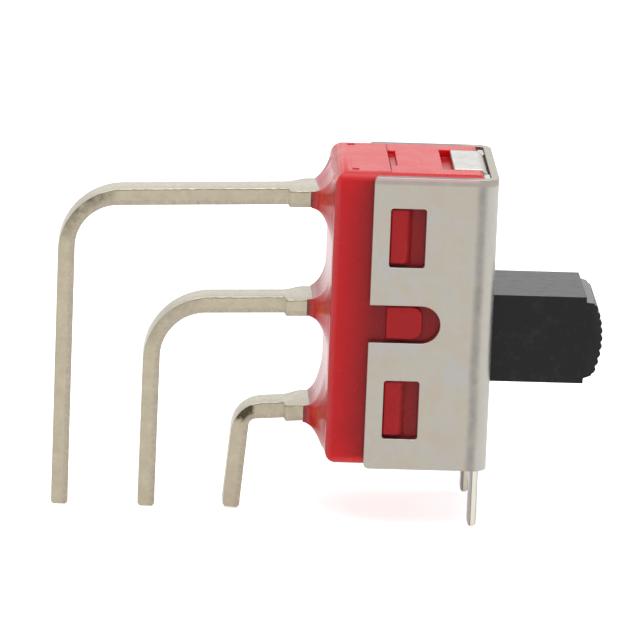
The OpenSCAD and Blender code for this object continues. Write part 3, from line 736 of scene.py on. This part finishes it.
def leadPath(lead):
    # points of the strip's middle line, from inside the case to the tip: place, turn, and how far the
    # bend moves the outer and the inner surface
    slope, lean = math.radians(lead["droop"]), math.radians(lead["lean"])
    radius = lead["bend"] + strip["thickness"] / 2
    start = lead["level"] + lead["rise"]
    # the bend's centre lies a radius inside both straight stretches
    level = start - caseRear * math.tan(slope) - radius / math.cos(slope)
    leanX = lead["board"] + radius / math.cos(lean)
    centreZ = (level + leanX * math.tan(slope)) / (1 - math.tan(lean) * math.tan(slope))
    centreX = leanX + centreZ * math.tan(lean)
    upright = math.pi / 2 - lean
    half = (upright - slope) / 2

    def shifts(turn, before=0.0):
        swing = turn - slope - half
        inner = 0.0 if before else arcShift(lead["bend"], -lead["easeIn"], half, swing, 0)
        return (max(0, arcShift(lead["bend"] + strip["thickness"], lead["easeOut"], half, swing, before)),
                max(0, -inner))

    points = []
    for share in (0, 0.5, 1):
        points.append((strip["slotFrom"] + (caseRear - strip["slotFrom"]) * share,
                       lead["level"] + lead["rise"] * share, 0.0, (0, 0)))
    # out from the case, with rings at the shoulder where the strip gets narrow
    startX = centreX - radius * math.sin(slope)
    count = max(2, round((caseRear - startX) / strip["step"]))
    steps = [caseRear + (startX - caseRear) * i / count for i in range(1, count)]
    shoulder = [lead["lugEnd"], lead["lugEnd"] - strip["nearTaper"]]
    steps = [x for x in steps if min(abs(x - s) for s in shoulder) > strip["shoulderRoom"]] + shoulder
    for x in sorted(steps, reverse=True):
        points.append((x, start - (caseRear - x) * math.tan(slope), slope, shifts(slope, x - startX)))
    # round the bend
    for i in range(strip["bendSteps"] + 1):
        turn = slope + (upright - slope) * i / strip["bendSteps"]
        x, z = centreX - radius * math.sin(turn), centreZ + radius * math.cos(turn)
        points.append((x, z, turn, shifts(turn)))
    # down to the tip
    length = (z - lead["tip"]) / math.cos(lean)
    count = max(2, round(length / strip["step"]))
    below = [length * i / count for i in range(1, count)]
    below += [length - strip["tipBevel"], length - strip["tipBevel"] / 2, length]
    for down in sorted(below):
        points.append((x - math.sin(lean) * down, z - math.cos(lean) * down, turn, shifts(turn, down)))
    return points


def stripSection(nearY, farY, half, edge):
    # (across, outwards, bright, torn) round the strip: corners turn in three steps, bright marks a painted
    # highlight on the outer corners, and the sides change from clean cut to torn metal a little below the
    # middle
    def corner(sideY, sideN, start):
        centreY, centreN = sideY - math.copysign(edge, sideY), sideN - math.copysign(edge, sideN)
        for step in range(4):
            angle = start + step * 30
            turn = math.radians(angle)
            top = sideN > 0
            yield (centreY + edge * math.cos(turn), centreN + edge * math.sin(turn),
                   1.0 if top and 30 < angle < 150 else 0.0, 0.0 if top else 0.8)

    clean, torn = strip["tornBelow"] + strip["tornHalf"], strip["tornBelow"] - strip["tornHalf"]
    ring = [*corner(farY, half, 0), *corner(nearY, half, 90), (nearY, half - edge - strip["burr"], 0.0, 0.0)]
    ring += [(nearY, clean, 0.0, 0.0), (nearY - strip["tornSink"], torn, 0.5, 0.7)]
    ring += [*corner(nearY, -half, 180), *corner(farY, -half, 270)]
    ring += [(farY + strip["tornSink"], torn, 0.5, 0.7), (farY, clean, 0.0, 0.0)]
    return ring


def unevenAt(x, z, lead, scale):
    return noise.noise(Vector((x * scale, z * scale, lead["level"])))


def stripSides(x, z, turn, lead):
    # the near side steps in at the shoulder, and the far side slants in before it
    halfLug, halfStrip = strip["lugWidth"] / 2, strip["width"] / 2
    past = lead["lugEnd"] - x
    nearY = -(halfLug + (halfStrip - halfLug) * eased(past / strip["nearTaper"]))
    farY = halfLug + (halfStrip - halfLug) * eased((past + strip["farLead"]) / strip["farTaper"])
    if turn == 0:
        nearY, farY = -halfLug, halfLug
    wobble = unevenAt(x, z, lead, strip["unevenScale"]) * strip["unevenness"]
    return nearY + wobble, farY + wobble


def addRing(form, marks, lead, point, half):
    x, z, turn, (outShift, inShift) = point
    out = Vector((-math.sin(turn), 0, math.cos(turn)))
    # the plating cracks and dulls on the sides of the bend, most of all towards its outside
    upright = math.pi / 2 - math.radians(lead["lean"])
    bent = eased(turn / strip["stainIn"]) * eased((upright - turn) / strip["stainOut"])
    droop = strip["ragged"] * max(0, min(1, 0.4 + 1.4 * unevenAt(x, z, lead, strip["raggedScale"])))
    ring = []
    section = stripSection(*stripSides(x, z, turn, lead), half, strip["edge"])
    for i, (across, away, bright, torn) in enumerate(section):
        if i in burrCorners:
            away -= droop
        shifted = away - (outShift * away if away > 0 else inShift * away) / half
        vertex = form.verts.new((Vector((x, across, z)) + out * shifted) * mm)
        outward = min(1, max(0, (away / half + strip["stainFrom"]) / strip["stainOver"]))
        stainAndShadow = lead["stain"] * bent * outward * (1 - bright)
        # painted shadow under the burr
        if i in burrCorners:
            stainAndShadow = max(stainAndShadow, strip["burrShade"] - strip["burrFade"] * turn / upright)
        vertex[marks["stainAndShadow"]], vertex[marks["bright"]], vertex[marks["torn"]] = stainAndShadow, bright, torn
        ring.append(vertex)
    return ring


def addInside(form, node):
    # the foot and the fork inside the case come from the solid
    inside = cleanSolid(node)
    cut = cutForm(inside, (strip["insideFrom"], 0, 0), (-1, 0, 0), dropBeyond=True)
    bmesh.ops.holes_fill(inside, edges=[e for e in cut["geom_cut"] if isinstance(e, bmesh.types.BMEdge)])
    part = bpy.data.meshes.new("inside")
    inside.to_mesh(part)
    inside.free()
    form.from_mesh(part)
    bpy.data.meshes.remove(part)


def buildLead(name, lead, node):
    form = bmesh.new()
    marks = {mark: form.verts.layers.float.new(mark) for mark in ("stainAndShadow", "bright", "torn")}
    rings = []
    path = leadPath(lead)
    for i, point in enumerate(path):
        half = strip["thickness"] / 2
        if i >= len(path) - 3:    # the tip's bevel has three rings
            half -= strip["tipBevel"] * (1 - (point[1] - lead["tip"]) / strip["tipBevel"]) * strip["tipShare"]
        rings.append(addRing(form, marks, lead, point, half))
    for one, two in zip(rings, rings[1:]):
        for i in range(len(one)):
            j = (i + 1) % len(one)
            form.faces.new((one[i], two[i], two[j], one[j]))
    form.faces.new(rings[0])
    form.faces.new(list(reversed(rings[-1])))
    addInside(form, node)
    bmesh.ops.recalc_face_normals(form, faces=form.faces)
    finishForm(form, name, "housing", node, sharp=40)


for level, lead in leads.items():
    buildLead(level + "Lead", lead, "terminal_" + level)
print("leads ready")

# Seal, in mm: a thin skin of resin that climbs round each lug. At a lug it stands tip + body high;
# tip fades fast, and body is gone at reach
resin = {
    "halfWidth": 2.91, "low": 1.0, "high": 13.35, "skin": 0.035, "edge": 0.35, "edgeHold": 0.15,
    "end": 0.3, "sink": 0.26, "behind": 0.03, "tipFade": 0.2,
    "fine": 0.03, "coarse": 0.11, "spread": 0.9,    # the mesh's steps
    "embed": 0.06, "underLug": 0.3,    # under a lug's metal the resin is level and out of sight
    "farShare": 0.74, "slant": 0.05,    # the far side climbs less; over the upper lug the resin slants
    "beside": {"tip": 0.22, "body": 0.68, "reach": 1.8, "power": 1.6},
    "above": {
        "upper": {"tip": 0.17, "body": 0.46, "reach": 0.85, "power": 1.3},
        "middle": {"tip": 0.3, "body": 0.36, "reach": 1.35, "power": 1.9},
        "lower": {"tip": 0.34, "body": 0.42, "reach": 1.7, "power": 1.3},
    },
    "below": {
        "upper": {"tip": 0.04, "body": 0.38, "reach": 1.6, "power": 1.5},
        "middle": {"tip": 0.08, "body": 0.36, "reach": 1.4, "power": 1.5},
        "lower": {"tip": 0.24, "body": 0.46, "reach": 1.1, "power": 1.1},
    },
    # where the flux and the dark line lie: how far from the lug, how wide, and how far up and down from its
    # middle
    "amber": {"away": 0.7, "wide": 0.45, "up": 0.1, "tall": 0.5, "farSide": 0.5},
    "collar": {"away": 0.0, "wide": 0.16, "up": 0.0, "tall": 0.5},
}


def gradedLines(low, high, edges):
    # closer together near the edges of the lugs, and exactly on them
    stops = sorted([low, high] + edges)
    lines = [low]
    for a, b in zip(stops, stops[1:]):
        steps, at = [], a
        while at < b:
            nearest = min(abs(at - e) for e in edges)
            at += resin["fine"] + (resin["coarse"] - resin["fine"]) * min(1, nearest / resin["spread"])
            steps.append(at)
        scale = (b - a) / (steps[-1] - a)
        lines += [a + (s - a) * scale for s in steps]
    return lines


def lugMound(y, z, level, lead):
    # (how high the resin stands because of this lug, how far the point lies from it)
    halfLug = strip["lugWidth"] / 2
    overY = abs(y) - halfLug
    overZ = abs(z - lead["level"]) - strip["thickness"] / 2
    dy, dz = max(0, overY), max(0, overZ)
    away = math.hypot(dy, dz)
    upright = resin["above" if z > lead["level"] else "below"][level]
    share = eased(dz / (dy + dz)) if away else (1.0 if overZ > overY else 0.0)
    tip, body, reach, power = [upright[key] * share + resin["beside"][key] * (1 - share)
                               for key in ("tip", "body", "reach", "power")]
    height = tip * math.exp(-away / resin["tipFade"]) + body * max(0, 1 - away / reach) ** power
    if y > 0:
        height *= resin["farShare"] + (1 - resin["farShare"]) * share
    if level == "upper" and z > lead["level"]:
        height += resin["slant"] * max(-halfLug, min(halfLug, y)) * share * max(0, 1 - away / reach)
    return height, away if max(overY, overZ) > -resin["embed"] else -1


def fluxAt(flux, away, above):
    return math.exp(-((away - flux["away"]) / flux["wide"]) ** 2 - ((above - flux["up"]) / flux["tall"]) ** 2)


def resinAt(y, z):
    # height of the resin, with how amber and how dark it is there
    side, end = resin["halfWidth"] - abs(y), eased(min(z - resin["low"], resin["high"] - z) / resin["end"])
    uneven = 1 + 0.5 * noise.noise(Vector((y * 0.8, z * 0.6, 3.1)))
    height = resin["skin"] * uneven * eased(side / resin["edge"])
    amber = collar = 0.0
    for level, lead in leads.items():
        mound, away = lugMound(y, z, level, lead)
        if away < 0:
            return resin["underLug"], 0, 0
        height += mound * eased(side / resin["edge"] + resin["edgeHold"])
        amber = max(amber, fluxAt(resin["amber"], away, z - lead["level"]))
        collar = max(collar, fluxAt(resin["collar"], away, z - lead["level"]))
    if y >= 0:
        amber *= resin["amber"]["farSide"]
    return height * end - resin["sink"] * (1 - end), amber, collar


def roundCorner(z):
    # the seal draws in where the case's edges are round
    return 1 - roundedBy(z, case["round"]) / resin["halfWidth"]


def buildSeal():
    form = bmesh.new()
    amber, collar = (form.verts.layers.float.new(mark) for mark in ("amber", "collar"))
    halfLug, half = strip["lugWidth"] / 2, strip["thickness"] / 2
    ys = gradedLines(-resin["halfWidth"], resin["halfWidth"], [-halfLug, halfLug])
    zs = gradedLines(resin["low"], resin["high"],
                     [lead["level"] + side * half for lead in leads.values() for side in (-1, 1)])
    outer = []
    for y in ys:
        outer.append([])
        for z in zs:
            height, amberHere, collarHere = resinAt(y, z)
            vertex = form.verts.new(((caseRear - height) * mm, y * roundCorner(z) * mm, z * mm))
            vertex[amber], vertex[collar] = amberHere, collarHere
            outer[-1].append(vertex)
    across, tall = len(ys) - 1, len(zs) - 1
    for i in range(across):
        for j in range(tall):
            form.faces.new((outer[i][j], outer[i][j + 1], outer[i + 1][j + 1], outer[i + 1][j]))
    # the rim and the back lie inside the case
    rim = ([(i, 0) for i in range(across)] + [(across, j) for j in range(tall)]
           + [(i, tall) for i in range(across, 0, -1)] + [(0, j) for j in range(tall, 0, -1)])
    back = (caseRear + resin["sink"] + resin["behind"]) * mm
    inner = [form.verts.new((back, ys[i] * roundCorner(zs[j]) * mm, zs[j] * mm)) for i, j in rim]
    for n, (i, j) in enumerate(rim):
        m = (n + 1) % len(rim)
        form.faces.new((outer[i][j], outer[rim[m][0]][rim[m][1]], inner[m], inner[n]))
    form.faces.new(list(reversed(inner)))
    bmesh.ops.recalc_face_normals(form, faces=form.faces)
    finishForm(form, "resinSeal", "housing", "epoxy_seal", sharp=60)


buildSeal()
print("seal ready")
